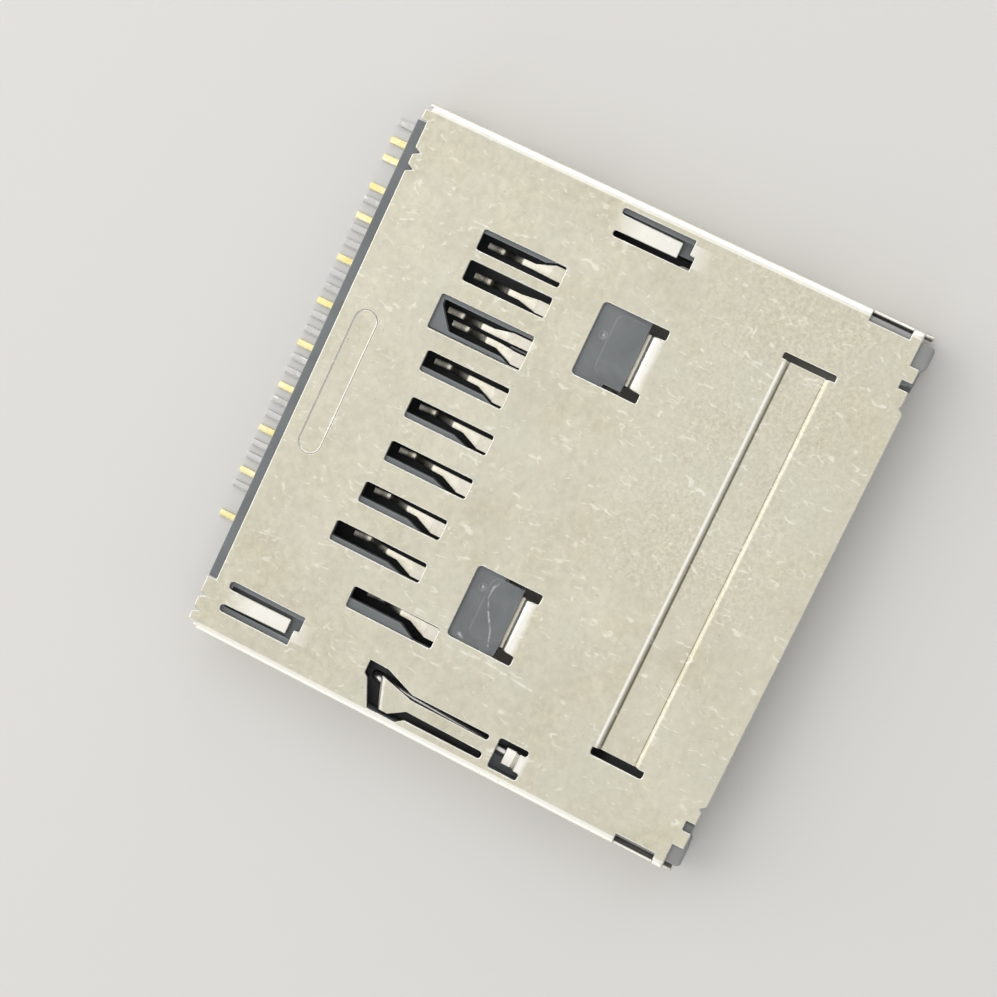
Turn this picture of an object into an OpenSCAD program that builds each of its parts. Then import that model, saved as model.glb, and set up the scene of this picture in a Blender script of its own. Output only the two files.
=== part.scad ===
// Card socket for a full-size memory card, push-push, surface mount, contacts on the cover side.
// Millimetres. X across the card, +Y the way the card goes in, Z up from the circuit board.
// Plan sizes are given as (x, l): l runs from the rear edge of the lid towards the card's mouth.

/* [Card space] */
// Width of the card
card_w = 24; // [23.8:0.1:24.2]
// Thickness of the card
card_t = 2.1; // [2:0.05:2.2]
// Room beside the card, each side
card_side_clear = 0.1; // [0.05:0.05:0.2]
// Room above and below the card, together
card_thick_clear = 0.1; // [0.05:0.05:0.2]

/* [Cover] */
// Outer width over the side walls
cover_w = 30.2; // [30:0.1:30.6]
// Thickness of the cover sheet
sheet_t = 0.2; // [0.15:0.05:0.25]
// Outer radius of the folded edges
bend_r = 0.4; // [0.35:0.05:0.5]
// Depth of the pressed cross rib
rib_depth = 0.2; // [0.15:0.05:0.4]
// Drop of the arm that presses on the cam pin
arm_drop = 0.3; // [0.2:0.05:0.32]

/* [Housing] */
// Rear edge of the lid to the front posts
body_l = 28.5; // [28.3:0.1:29]
// Thickness of the ledges under the card
ledge_t = 0.3; // [0.25:0.05:0.4]
// Thickness of the top plate
plate_t = 0.5; // [0.45:0.05:0.6]
// Rear edge of the lid to the plate's front edge
plate_l = 15.25; // [15.1:0.05:15.3]

/* [Terminals] */
// Thickness of the terminal sheet
term_t = 0.15; // [0.12:0.01:0.18]
// Width of a solder lead
lead_w = 0.36; // [0.3:0.02:0.4]
// Length of a solder lead behind the moulding
lead_reach = 1.62; // [1.2:0.1:2]
// Spacing of the first-row contacts
contact_pitch = 2.5; // [2.48:0.01:2.52]
// Width of a contact beam at its tip
beam_w = 0.34; // [0.28:0.02:0.4]
// Drop of a contact's apex below its sheet
apex_drop = 1.3; // [1:0.1:1.5]

/* [Push mechanism] */
// Travel of the slider
slide_travel = 4.6; // [4:0.1:4.8]
// Diameter of the cam pin's wire
pin_d = 0.4; // [0.36:0.02:0.44]
// Room beside the pin in its lane
lane_clear = 0.07; // [0.05:0.01:0.1]
// Outer diameter of the eject spring
spring_d = 1.7; // [1.5:0.1:1.8]
// Wire of the eject spring
spring_wire = 0.22; // [0.18:0.02:0.25]
// Turns of the eject spring
spring_turns = 9; // [7:1:10]

/* [Hidden] */
// The middle of the whole length is y = 0
rear_face = 0.28;
lead_tip = rear_face + lead_reach;
y0 = (body_l - lead_tip) / 2;

// Heights
cav_z0 = ledge_t;
cav_z1 = cav_z0 + card_t + card_thick_clear;
plate_z1 = cav_z1 + plate_t;
top = plate_z1 + sheet_t;
term_z = cav_z1 + 0.39 * plate_t;
term_z0 = term_z - term_t / 2;
term_z1 = term_z + term_t / 2;

// Widths
half_w = cover_w / 2;
wall_in = half_w - sheet_t;
slot_w = card_w / 2 + card_side_clear;
block_x0 = 2.74 - wall_in;
block_l = 1.9;
base_l = 12.4;
lid_front = body_l - 0.07;
lid_step = body_l - 0.8;

// First row, from +X to -X: centre, front and rear end of its window, window edges, beam edges, return run, lead,
// edge of the plate's slot towards +X, and towards -X beside the beam's root
x5 = 3.167;
function first_x(k) = x5 - k * contact_pitch;
first = [
    [9.77, 10.08, 5.39, 0.67, 0.46, 0.55, 0.2, 10.8, 9.95, 0.45, 0.49],
    [8.06, 10.08, 5.39, 0.67, 0.46, 0.3, 0.4, 7.22, 8.24, 0.65, 0.49],
    [5.61, 10.08, 4.79, 0.95, 0.97, 0.67, 0.87, 4.5, 5.8, 0.72, 0.72],
    [first_x(0), 10.08, 5.37, 0.45, 0.7, 0.17, 0.6, first_x(0) - 1.1, first_x(0) + 0.1, 0.5, 0.45],
    [first_x(1), 10.38, 5.67, 0.42, 0.7, 0.17, 0.6, first_x(1) - 1.1, first_x(1) + 0.1, 0.47, 0.75],
    [first_x(2), 10.38, 5.67, 0.42, 0.7, 0.17, 0.6, first_x(2) - 1.1, first_x(2) + 0.1, 0.47, 0.75],
    [first_x(3), 10.08, 5.35, 0.42, 0.72, 0.17, 0.6, first_x(3) - 1.1, first_x(3) + 0.05, 0.47, 0.77],
    [first_x(4), 10.08, 4.83, 0.43, 0.68, 0.17, 0.6, first_x(4) - 1.1, first_x(4) + 0.05, 0.48, 0.73],
    [first_x(5) - 0.05, 12.11, 7.13, 0.26, 0.92, 0.17, 0.6, first_x(5) - 1.3, first_x(5) - 0.05, 0.31, 0.95]
];
twin = 0.27;
strip_w = 0.32;
slot_half = 0.45;
groove_clear = 0.03;
beam_end = 4.45;

// Second row, from +X to -X: run, beam, leads
second = [
    [8.98, 0.6, [9.2]],
    [6.68, 0.6, [7.58, 6.7]],
    [3.97, 0.6, [4.94, 4.11]],
    [first_x(0) - 1.6, 0.6, [first_x(0) - 0.67, first_x(0) - 1.55]],
    [first_x(1) - 1.6, 0.6, [first_x(1) - 0.71, first_x(1) - 1.52]],
    [first_x(2) - 1.6, 0.6, [first_x(2) - 0.73, first_x(2) - 1.58]],
    [first_x(3) - 1.6, 0.6, [first_x(3) - 0.83, first_x(3) - 1.58]],
    [first_x(4) - 1.6, 0.6, [first_x(4) - 0.78]]
];
row2_l = 13.3;

// Switch blades
switch_z0 = 0.6;
switch_z1 = 1.9;
pocket_x1 = slot_w + 1.3;
common_lead = slot_w + 1.5;
protect_lead = slot_w + 0.5;
detect_lead = slot_w - 0.5;

// Push mechanism in the -X rail
ch_x0 = -(wall_in - 0.3);
ch_x1 = -(slot_w + 0.1);
ch_floor = 0.4;
ch_l0 = 0.9;
slider_l0 = 8.5;
slider_l1 = 17.2;
slider_top = 2.1;
slider_gap = 0.05;
roof_l = 5.75;
roof_z = slider_top + 0.2;
pin_x = 1.4 - wall_in;
pin_l = 18.3;
tip_x = pin_x + 0.46;
tip_l = 10;
pin_z = slider_top + 0.15 + pin_d / 2;
pin_len = norm([tip_x - pin_x, tip_l - pin_l]);
pin_rest = asin((tip_x - pin_x) / pin_len);
pin_swing = 6;
lane_w = pin_d + 2 * lane_clear;
lane_z = slider_top - 0.55;
spring_x = (ch_x0 + ch_x1) / 2;
spring_z = 1.35;
spigot_r = spring_d / 2 - spring_wire - 0.1;

// A box from its limits, along the card by l
module box(x0, x1, l0, l1, z0, z1) {
    translate([x0, y0 - l1, z0]) cube([x1 - x0, l1 - l0, z1 - z0]);
}

// A plan shape (x, l) raised from z0 to z1
module plan(z0, z1) {
    translate([0, y0, z0]) mirror([0, 1, 0]) linear_extrude(z1 - z0) children();
}

// A side shape (l, z) drawn out from x0 to x1
module across(x0, x1) {
    translate([x0, y0, 0]) mirror([0, 1, 0]) rotate([90, 0, 90]) linear_extrude(x1 - x0) children();
}

// An end shape (x, z) drawn out from l0 to l1
module along(l0, l1) {
    translate([0, y0 - l0, 0]) rotate([90, 0, 0]) linear_extrude(l1 - l0) children();
}

module rect(x0, x1, l0, l1) {
    translate([x0, l0]) square([x1 - x0, l1 - l0]);
}

module round_rect(x0, x1, l0, l1, r) {
    rect(x0 + r, x1 - r, l0, l1);
    rect(x0, x1, l0 + r, l1 - r);
    for (x = [x0 + r, x1 - r]) for (l = [l0 + r, l1 - r]) translate([x, l]) circle(r = r, $fn = 24);
}

// Sheet strips: a line of points with rounded corners, thickened to both sides
function unit(v) = v / norm(v);
function perp(v) = [-v[1], v[0]];
function corner(a, b, c, r, n) =
    let (u = unit(a - b), v = unit(c - b), ang = acos(u * v), d = r / tan(ang / 2))
    let (o = b + unit(u + v) * r / sin(ang / 2), s = b + u * d - o, e = b + v * d - o)
    let (a0 = atan2(s[1], s[0]), turn = atan2(e[1], e[0]) - a0)
    let (da = turn > 180 ? turn - 360 : turn < -180 ? turn + 360 : turn)
    [for (k = [0:n]) o + r * [cos(a0 + da * k / n), sin(a0 + da * k / n)]];
function rounded(p, r, n) = concat([p[0]], [for (i = [1:len(p) - 2]) each corner(p[i - 1], p[i], p[i + 1], r, n)],
    [p[len(p) - 1]]);
function side(p, d) = [for (i = [0:len(p) - 1])
    let (a = i > 0 ? unit(p[i] - p[i - 1]) : unit(p[1] - p[0]), b = i < len(p) - 1 ? unit(p[i + 1] - p[i]) : a)
    let (m = unit(perp(a) + perp(b)))
    p[i] + m * d / (m * perp(a))];
function back(p) = [for (i = [len(p) - 1:-1:0]) p[i]];
module strip(p, t, r = 0, n = 4) {
    q = r > 0 ? rounded(p, r, n) : p;
    polygon(concat(side(q, t / 2), back(side(q, -t / 2))));
}

// Cover

// Folded channel section: lid and two side walls
module cover_section() {
    difference() {
        union() {
            translate([-half_w + bend_r, 0]) square([cover_w - 2 * bend_r, top]);
            translate([-half_w, 0.25]) square([cover_w, top - bend_r - 0.25]);
            for (s = [-1, 1]) translate([s * (half_w - bend_r), top - bend_r]) circle(r = bend_r, $fn = 32);
        }
        translate([-wall_in + bend_r - sheet_t, -1]) square([2 * (wall_in - bend_r + sheet_t), plate_z1 + 1]);
        translate([-wall_in, -1]) square([2 * wall_in, top - bend_r + 1]);
        for (s = [-1, 1]) translate([s * (half_w - bend_r), top - bend_r])
            circle(r = bend_r - sheet_t, $fn = 32);
    }
}

// Cut-outs seen in the lid, as plan shapes
module contact_windows() {
    for (c = first) round_rect(c[0] - c[4], c[0] + c[3], c[2], c[1], 0.15);
}

module square_windows() {
    for (x = window_x) {
        round_rect(x - 2.01, x + 2.01, 12.56, 15.5, 0.25);
        for (s = [-1, 1]) round_rect(x + s * 1.76 - 0.26, x + s * 1.76 + 0.26, 15.2, 16.22, 0.12);
        rect(x - 1.6, x + 1.6, 15.2, 15.95);
    }
}

// Beside the walls the cover's features are drawn by their distance from the wall's inner face
module from_wall(s) {
    translate([s * wall_in, 0]) mirror([s > 0 ? 1 : 0, 0]) children();
}

module side_tongue_cut() {
    rect(0.49, 2.01, side_root, 15.44);
    rect(1.3, 2.01, 15.3, 15.73);
    round_rect(0.49, 0.83, side_root - 0.17, side_root + 0.6, 0.16);
    round_rect(1.71, 2.01, side_root - 0.15, side_root + 0.6, 0.14);
}

module rear_tongue_cut() {
    rect(1.33, 3.05, rear_root, 5.18);
    rect(2.22, 3.05, 5, 5.47);
    round_rect(2.6, 3.05, rear_root - 0.22, rear_root + 0.6, 0.2);
    round_rect(1.33, 1.73, rear_root - 0.2, rear_root + 0.6, 0.18);
}
side_root = 11.6;
rear_root = 1.28;

arm_root = 16.7;
module arm_outline() {
    polygon([[1.7, arm_root + 0.4], [1.7, 12.38], [2.18, 10.38], [0.43, 10.95], [0.43, 11.5], [1, 12.38],
        [1, arm_root + 0.4]]);
}
module arm_cut() {
    polygon([[2.67, 9.54], [2.63, 10.63], [1.99, 12.31], [1.99, arm_root], [0.62, arm_root], [0.62, 12.46],
        [0.3, 12.05], [0.3, 10.44], [1.78, 9.77], [1.94, 9.54]]);
    round_rect(1.7, 1.99, arm_root - 0.6, arm_root + 0.15, 0.13);
    round_rect(0.62, 1, arm_root - 0.6, arm_root + 0.19, 0.17);
}

module hook_cut() {
    round_rect(0.47, 2.14, 17.43, 18.7, 0.14);
    round_rect(1.82, 2.14, 18.2, 19.07, 0.14);
    round_rect(0.47, 0.85, 18.2, 19.07, 0.14);
}

rib_l0 = body_l - 6.55;
rib_l1 = rib_l0 + 2.6;
rib_step = 0.2;
rib_half = 10.98;
module rib_cut() {
    rect(-rib_half - 0.1, rib_half + 0.1, rib_l0, rib_l1);
    rect(rib_half, rib_half + 0.17, rib_l0 - 0.1, rib_l1 + 0.17);
    round_rect(rib_half + 0.05, rib_half + 0.32, rib_l0 - 0.1, rib_l1 + 0.17, 0.12);
    rect(-rib_half - 0.22, -rib_half, rib_l0 - 0.07, rib_l1 + 0.25);
    round_rect(-rib_half - 0.4, -rib_half - 0.05, rib_l0 - 0.07, rib_l1 + 0.25, 0.16);
}

module lid_edge_cuts() {
    // Shear notches where the lid was cut from its carrier strip
    for (d = [2.4, 3.32]) polygon([[wall_in - d - 0.28, 0], [wall_in - d, 0.62], [wall_in - d + 0.28, 0]]);
    for (d = [1.67, 0.8]) polygon([[d - wall_in - 0.25, -0.5], [d - wall_in, 0.02], [d - wall_in + 0.25, -0.5]]);
    for (x = [wall_in - 3.7, 3.54 - wall_in]) polygon([[x - 0.3, lid_front + 0.1], [x, lid_front - 0.3], [x + 0.3, lid_front + 0.1]]);
    // Slots and steps beside the card's mouth
    rect(wall_in - 2.82, wall_in - 2.38, lid_step - 0.05, lid_front + 1);
    rect(2.18 - wall_in, 2.7 - wall_in, lid_step + 0.1, lid_front + 1);
    rect(wall_in - 3.55, wall_in - 0.9, lid_front - 0.22, lid_front + 1);
    rect(0.9 - wall_in, 3.5 - wall_in, lid_front - 0.12, lid_front + 1);
}

module cover() {
    color([0.82, 0.79, 0.7]) {
        difference() {
            union() {
                along(0.25, lid_step) cover_section();
                box(1.3 - wall_in, wall_in - 1.6, lid_step - 0.5, lid_front, plate_z1, top);
                box(wall_in - 0.8, half_w - bend_r, -0.1, 0.5, plate_z1, top);
                box(-half_w + bend_r, block_x0, -0.27, 0.5, plate_z1, top);
                for (s = [-1, 1]) {
                    x0 = s > 0 ? wall_in : -half_w;
                    box(x0, x0 + sheet_t, -0.1, 0.5, 0.25, top - 0.75);
                    box(x0, x0 + sheet_t, lid_step - 0.5, lid_step + 0.5, 0.25, top - 0.75);
                    for (l = [2.6, body_l - 5.3]) box(x0, x0 + sheet_t, l, l + 1.8, 0, 0.6);
                }
            }
            plan(plate_z1 - 1, top + 1) {
                contact_windows();
                square_windows();
                from_wall(1) side_tongue_cut();
                from_wall(-1) rear_tongue_cut();
                from_wall(-1) arm_cut();
                from_wall(-1) hook_cut();
                rib_cut();
                lid_edge_cuts();
            }
            plan(top - 0.05, top + 1) round_rect(-4, 4.1, 1.11, 2.35, 0.6);
            for (s = [-1, 1]) {
                x0 = s > 0 ? half_w - 0.65 : -half_w - 0.1;
                box(x0, x0 + 0.75, body_l - 3.6, body_l - 1.4, top - 0.5, top + 1);
                for (l = latch_l) box(s * half_w - 0.5, s * half_w + 0.5, l, l + 2, 1.2, 2.05);
            }
        }
        arm();
        tongue(wall_in - 1.71, wall_in - 0.83, side_root, 14.89, 0.28);
        tongue(1.73 - wall_in, 2.6 - wall_in, rear_root, 4.79, 0.28);
        // Lock tabs in the square windows, under the plate's front edge
        for (x = window_x) across(x - 1.48, x + 1.48)
            strip([[16.6, top - sheet_t / 2], [lip_l, top - sheet_t / 2], [lip_l, cav_z1 + sheet_t / 2],
                [14.35, cav_z1 + sheet_t / 2]], sheet_t, min(0.22, (top - cav_z1 - sheet_t) / 2 - 0.01), 5);
        // Hook tab over the pivot of the cam pin
        across(0.85 - wall_in, 1.82 - wall_in)
            strip([[19.4, top - sheet_t / 2], [18.8, top - sheet_t / 2], [18.5, top - sheet_t / 2 - arm_drop],
                [17.92, top - sheet_t / 2 - arm_drop]], sheet_t, 0.15, 3);
        // Cross rib
        across(-rib_half, rib_half)
            strip([[rib_l0 - 0.3, top - sheet_t / 2], [rib_l0 + 0.13, top - sheet_t / 2],
                [rib_l0 + 0.13 + rib_step, top - sheet_t / 2 - rib_depth],
                [rib_l1 - 0.09 - rib_step, top - sheet_t / 2 - rib_depth],
                [rib_l1 - 0.09, top - sheet_t / 2], [rib_l1 + 0.3, top - sheet_t / 2]], sheet_t, 0.13, 3);
    }
}
lip_l = plate_l + 0.37;
window_x = [7.74, -7.2];
latch_l = [7.8, body_l - 8.9];

// A tongue that leans down from its root at l0
module tongue(x0, x1, l0, l1, drop) {
    across(x0, x1) strip([[l0 - 0.3, top - sheet_t / 2], [l0 + 0.2, top - sheet_t / 2],
        [l1, top - sheet_t / 2 - drop]], sheet_t);
}

// The arm leans down towards the rear from its root and presses on the cam pin
module arm() {
    difference() {
        intersection() {
            across(-wall_in, 3 - wall_in) strip([[arm_root + 0.4, top - sheet_t / 2], [arm_root - 0.2, top - sheet_t / 2],
                [10.2, top - sheet_t / 2 - arm_drop]], sheet_t);
            plan(0, top + 1) from_wall(-1) arm_outline();
        }
        // Turned edge of the arm's head
        translate([2.18 - wall_in, y0 - 10.38, top - arm_drop + 0.03]) rotate([0, 0, 17.96])
            rotate([45, 0, 0]) translate([-2.2, -0.02, -0.16]) cube([4, 1, 1]);
    }
}

// Terminals

// Bent lead: plate level, down the rear block, out at board level
lead_path = [[block_l + 0.1, term_z], [1.2, term_z], [1.2, term_t / 2], [-lead_tip, term_t / 2]];
module lead(x) {
    across(x - lead_w / 2, x + lead_w / 2) strip(lead_path, term_t, 0.25, 4);
}

// Beam of a first-row contact: side view and plan
module beam_side(l1) {
    strip([[l1 + 0.4, term_z], [l1 - 0.7, term_z], [l1 - 2.25, term_z - 0.2], [l1 - 3.6, term_z - apex_drop],
        [l1 - beam_end, term_z - apex_drop + 0.5]], term_t, 0.35, 4);
}
module beam_plan(x, l1, wa, wb, c = 0) {
    h = beam_w / 2 + c;
    polygon([[x + wa + c, l1 + 0.4], [x + wa + c, l1 - 0.6], [x + h, l1 - 1.64], [x + h, l1 - beam_end - 1],
        [x - h, l1 - beam_end - 1], [x - h, l1 - 1.64], [x - wb - c, l1 - 0.6], [x - wb - c, l1 + 0.4]]);
}
module beam(x, l1, wa, wb) {
    intersection() {
        across(x - 2, x + 2) beam_side(l1);
        plan(0, top) beam_plan(x, l1, wa, wb);
    }
}

// Flat run of a first-row contact in its groove, with room c all round
module first_run(c, k = 0) {
    rect(min(c[0] - c[6], c[7] - strip_w / 2) - k, max(c[0] + c[5], c[7] + strip_w / 2) + k,
        c[1] + 0.25 - k, c[1] + 0.75 + k);
    strip([[c[7], c[1] + 0.5], [c[7], 4.6], [c[8], 3.4], [c[8], block_l - 0.1]], strip_w + 2 * k);
}

module first_contact(i) {
    c = first[i];
    color([0.86, 0.82, 0.7]) {
        plan(term_z0, term_z1) first_run(c);
        lead(c[8]);
        if (i == 2) {
            beam(c[0] + twin, c[1] - 0.5, 0.4, 0.17);
            beam(c[0] - twin, c[1], 0.1, 0.6);
            plan(term_z0, term_z1) rect(c[0] + twin - 0.17, c[0] + twin + 0.4, c[1] - 0.2, c[1] + 0.5);
        } else {
            beam(c[0], c[1], c[5], c[6]);
        }
    }
}

// Second-row contact: run under the plate, beam turned back towards the rear
module second_run(c, k = 0) {
    w = strip_w / 2 + k;
    rect(c[0] - w, c[0] + w, 2.25 - k, row2_l + 0.45 + k);
    rect(min(c[0] - w, min(c[2]) - lead_w / 2 - k), max(c[0] + w, max(c[2]) + lead_w / 2 + k), 2.25 - k, 2.6 + k);
    for (x = c[2]) rect(x - lead_w / 2 - k, x + lead_w / 2 + k, block_l - 0.2, 2.6 + k);
    rect(c[0] - w, c[0] + c[1] + w, row2_l + 0.05 - k, row2_l + 0.45 + k);
}
module second_contact(i) {
    c = second[i];
    x = c[0] + c[1];
    color([0.8, 0.8, 0.8]) {
        plan(term_z0, term_z1) second_run(c);
        for (x = c[2]) lead(x);
        across(x - strip_w / 2, x + strip_w / 2)
            strip([[row2_l + 0.3, term_z], [row2_l - 0.2, term_z], [row2_l - 2.1, term_z - apex_drop],
                [row2_l - 2.8, term_z - apex_drop + 0.45]], term_t, 0.35, 4);
    }
}

// Switch terminals are blades that stand on edge in the +X rail, each with a folded solder foot
module blade_foot(x, k = 0) {
    box(x - lead_w / 2, x + lead_w / 2, -lead_tip, 1.5, 0, term_t);
}
module blade(p, x) {
    plan(switch_z0, switch_z1) strip(p, term_t, 0.3, 3);
    box(x - term_t / 2, x + term_t / 2, 0.7, 1.5, 0, switch_z1);
    blade_foot(x);
}
protect_path = [[protect_lead, 0.7], [protect_lead, 2.2], [slot_w + 0.75, 3.2], [slot_w + 0.75, 9.5],
    [slot_w - 0.12, 13.2], [slot_w - 0.12, 13.9], [slot_w + 0.85, 15.2], [slot_w + 0.85, 15.75]];
detect_path = [[detect_lead, 0.7], [detect_lead, 2.1], [slot_w + 0.3, 3.3], [slot_w + 0.25, 4.2],
    [slot_w - 0.12, 5.5], [slot_w - 0.12, 6.1], [slot_w + 0.45, 7], [slot_w + 0.45, 7.5]];
module switch_common() {
    color([0.8, 0.8, 0.8]) {
        box(common_lead - term_t / 2, common_lead + term_t / 2, 0.7, 15.9 + term_t, switch_z0, switch_z1);
        box(common_lead - term_t / 2, common_lead + term_t / 2, 0.7, 1.5, 0, switch_z1);
        blade_foot(common_lead);
        box(pocket_x1 - 0.35, common_lead, 15.9, 15.9 + term_t, switch_z0, switch_z1);
        box(slot_w + 0.95, common_lead, 6.9, 7.5, switch_z1 - term_t, switch_z1);
    }
}
module write_protect_spring() {
    color([0.87, 0.78, 0.5]) blade(protect_path, protect_lead);
}
module card_detect_spring() {
    color([0.87, 0.78, 0.5]) blade(detect_path, detect_lead);
}

// Housing

module rail_outline() {
    rect(slot_w, wall_in, block_l - 0.5, lid_step - 0.1);
    rect(slot_w, wall_in - 1.3, lid_step - 0.5, body_l - 0.2);
    round_rect(wall_in - 1.55, wall_in - 0.3, lid_step - 0.5, body_l, 0.25);
}

// Through slots of the plate under the windows
module plate_slots() {
    for (i = [0:len(first) - 1]) {
        c = first[i];
        if (i == 2) {
            difference() {
                rect(c[0] - twin - slot_half, c[0] + twin + slot_half, c[1] - 5.1, c[1] - 0.95);
                polygon([[c[0] - 0.75, c[1] - 4.2], [c[0] - 0.75, c[1] - 5.2], [c[0] + 0.55, c[1] - 5.2]]);
            }
            beam_end_slot(c[0] + twin, c[1] - 0.5, 0.4, 0.17);
            beam_end_slot(c[0] - twin, c[1], 0.1, 0.6);
            rect(c[0] + twin - 0.27, c[0] + twin + 0.5, c[1] - 0.3, c[1] + 0.4);
        } else {
            rear = min(c[1] - beam_end - 0.35, c[2] - 0.05);
            rect(c[0] - slot_half, c[0] + c[9], rear, c[1] + (i == 0 ? -1.2 : 0.05));
            // Towards -X the plate keeps a strip that runs out beside the beam's root
            if (i < 2) rect(c[0] - c[10], c[0], rear, c[1] + 0.05);
            if (i > 3) polygon([[c[0], c[1] - 2], [c[0] - slot_half, c[1] - 2], [c[0] - c[10], c[1] - 1.08],
                [c[0] - c[10], c[1] + 0.05], [c[0], c[1] + 0.05]]);
            beam_end_slot(c[0], c[1], c[5], c[6]);
        }
    }
}
module beam_end_slot(x, l1, wa, wb) {
    intersection() {
        beam_plan(x, l1, wa, wb, 0.1);
        rect(x - 2, x + 2, l1 - 2, l1 + 0.3);
    }
}

module wedge(s, l) {
    along(l + 0.1, l + 1.9) polygon([[s * (wall_in - 0.2), 1.3], [s * (half_w - 0.02), 1.3], [s * wall_in, 1.95],
        [s * (wall_in - 0.2), 1.95]]);
}

module housing() {
    color([0.33, 0.35, 0.38]) {
        difference() {
            union() {
                box(block_x0, wall_in - 0.85, -rear_face, block_l, 0, plate_z1);
                box(-wall_in, wall_in, 0.2, block_l, 0, plate_z1);
                plan(0, plate_z1) rail_outline();
                mirror([1, 0, 0]) plan(0, plate_z1) rail_outline();
                box(-slot_w - 0.1, slot_w + 0.1, block_l - 0.1, plate_l, cav_z1, plate_z1);
                // Pads that stand in the square windows
                for (x = window_x) plan(plate_z1 - 0.1, plate_z1 + 0.05)
                    round_rect(x - 1.5, x + 1.8, plate_l - 1.75, plate_l, 0.45);
                // Base under the contacts
                box(-slot_w - 0.1, slot_w + 0.1, block_l - 0.1, base_l, 0, ledge_t);
                for (s = [-1, 1]) {
                    x0 = s > 0 ? slot_w - 0.8 : -slot_w - 0.1;
                    box(x0, x0 + 0.9, block_l - 0.1, lid_step, 0, ledge_t);
                    for (l = latch_l) wedge(s, l);
                }
            }
            // Lead-in for the card
            plan(ledge_t, plate_z1 + 1) for (s = [-1, 1]) polygon([[s * (slot_w - 0.05), body_l - 1.7],
                [s * (slot_w + 0.4), body_l + 0.1], [s * (slot_w - 0.05), body_l + 0.1]]);
            // Edges that clear the cover's folds
            for (s = [-1, 1]) along(-1, body_l + 1) polygon([[s * (wall_in - 0.3), plate_z1 + 0.1],
                [s * (wall_in + 0.1), plate_z1 + 0.1], [s * (wall_in + 0.1), plate_z1 - 0.4],
                [s * wall_in, plate_z1 - 0.3], [s * (wall_in - 0.3), plate_z1]]);
            // Grooves, slots and leads of the terminals
            plan(term_z0, plate_z1 + 1) for (c = first) first_run(c, groove_clear);
            plan(cav_z1 - 0.1, plate_z1 + 1) plate_slots();
            plan(cav_z1 - 0.1, term_z1) intersection() {
                union() for (c = second) second_run(c, groove_clear);
                rect(-20, 20, block_l - 0.01, 20);
            }
            for (c = second) box(c[0] + c[1] - 0.28, c[0] + c[1] + 0.28, row2_l - 1.7, row2_l + 0.1,
                cav_z1 - 0.1, term_z1 + 0.1);
            for (c = first) lead(c[8]);
            for (c = second) for (x = c[2]) lead(x);
            // Lips of the cover's lock tabs
            for (x = window_x) {
                box(x - 1.6, x + 1.6, 14.25, plate_l + 1, cav_z1 - 0.1, cav_z1 + sheet_t);
                // Corner of the plate beside the lock tab, and the mark of the moulding gate
                x0 = x > 0 ? x - 2.2 : x + 1.84;
                box(x0, x0 + 0.36, plate_l - 0.98, plate_l + 1, cav_z1 - 0.1, plate_z1 + 1);
                translate([x + (x > 0 ? 0.42 : 1.02), y0 - plate_l + 2.05, plate_z1 - 0.08])
                    cylinder(r1 = 0.12, r2 = 0.21, h = 0.1, $fn = 32);
            }
            switch_room();
            channel();
            // Gaps beside the walls, under the notches in the folds
            box(wall_in - 0.14, wall_in + 0.1, body_l - 3.6, body_l - 1.4, 2, plate_z1 + 1);
            box(-wall_in - 0.1, 0.32 - wall_in, body_l - 3.6, body_l - 1.4, 2, plate_z1 + 1);
            // Room for the leaning tongues of the cover
            box(wall_in - 1.8, wall_in - 0.74, 11.4, 15.8, plate_z1 - 0.4, plate_z1 + 1);
            box(1.6 - wall_in, -slot_w, 1.2, 5.5, plate_z1 - 0.45, plate_z1 + 1);
        }
        // Spigot of the eject spring
        translate([spring_x, y0 - ch_l0, spring_z]) rotate([90, 0, 0]) translate([0, 0, -0.3])
            cylinder(r = spigot_r, h = 1.3, $fn = 32);
    }
}

// Pocket for the switch blades, and slits for their feet
module switch_room() {
    box(slot_w - 1, pocket_x1, block_l, 16.2, switch_z0 - 0.1, plate_z1 + 1);
    box(common_lead - 0.14, common_lead + 0.14, block_l, 16.2, -1, switch_z1 + 0.05);
    box(pocket_x1 - 0.1, common_lead + 0.14, 15.8, 16.2, -1, switch_z1 + 0.05);
    box(pocket_x1 - 0.1, common_lead + 0.14, 6.8, 7.6, switch_z1 - 0.3, switch_z1 + 0.05);
    for (x = [common_lead, protect_lead, detect_lead]) {
        box(x - term_t / 2, x + term_t / 2, 0.7, block_l + 0.1, switch_z0, switch_z1);
        box(x - term_t / 2, x + term_t / 2, 0.7, 1.5, 0, switch_z1);
        blade_foot(x);
    }
}

// Channel of the slider and its spring, with the seat of the cam pin
module channel() {
    box(ch_x0, ch_x1, ch_l0, slider_l1 + slider_gap, ch_floor, roof_z);
    box(ch_x0, ch_x1, roof_l, slider_l1 + slider_gap, roof_z - 0.1, plate_z1 + 1);
    box(ch_x1 - 0.1, -slot_w + 1, block_l, slider_l1 + slider_gap, ch_floor, cav_z1);
    box(ch_x0 + 0.1, -slot_w - 0.3, slider_l1 - 1, 19.6, slider_top, plate_z1 + 1);
    translate([pin_x, y0 - pin_l, 0.8]) cylinder(d = pin_d + 0.06, h = 3, $fn = 32);
}

// Push mechanism

function pin_tip(t) = [pin_x + pin_len * sin(pin_rest - pin_swing * t),
    pin_l - pin_len * cos(pin_rest - pin_swing * t) + slide_travel * t];

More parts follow.
